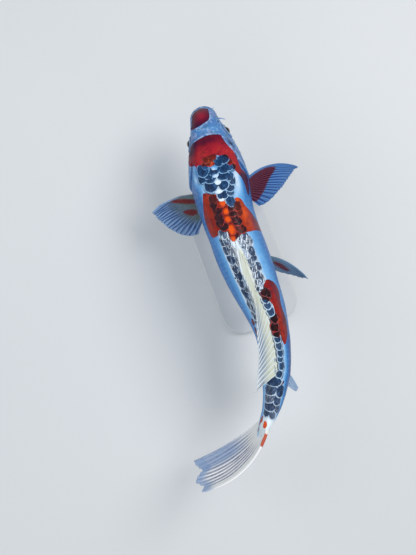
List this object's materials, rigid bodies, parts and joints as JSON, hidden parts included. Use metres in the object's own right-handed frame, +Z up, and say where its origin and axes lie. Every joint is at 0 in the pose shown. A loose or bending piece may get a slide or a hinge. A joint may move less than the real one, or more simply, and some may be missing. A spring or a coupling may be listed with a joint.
{
  "type": "koi carp model",
  "caption": "Life-size still model of a slender koi carp swimming in a gentle bend, fins spread, held over a flat base by slim rods.",
  "frame": {"origin": "the middle of the underside of the display stand's board, which is flat on the floor", "axes": "+Z up; the fish looks towards +Y, with its right side towards +X"},
  "size_m": [0.2392, 0.5375, 0.2383],
  "materials": {
    "skin": "glossy pearly white skin, tinged blue on the flanks, with red patches and large blue-black scales along the back",
    "fin": "satin cream-white ribbed fins, thin and pale at the margins, red near the pectoral roots",
    "eye": "wet gloss, black pupil in a dark silvery ring",
    "barbel": "satin pinkish white",
    "board": "satin off-white lacquer",
    "rod": "fine brushed steel"
  },
  "bodies": {
    "root": {"head": "skin", "trunk": "skin", "tail": "skin", "gill_cover_left": "skin", "gill_cover_right": "skin", "eye_left": "eye", "eye_right": "eye", "barbel_corner_left": "barbel", "barbel_corner_right": "barbel", "barbel_upper_left": "barbel", "barbel_upper_right": "barbel", "pectoral_fin_left": "fin", "pectoral_fin_right": "fin", "pelvic_fin_left": "fin", "pelvic_fin_right": "fin", "dorsal_fin": "fin", "anal_fin": "fin", "tail_fin_upper": "fin", "tail_fin_lower": "fin", "stand_base": "board", "stand_rod_front": "rod", "stand_rod_rear": "rod"}
  },
  "joints": []
}
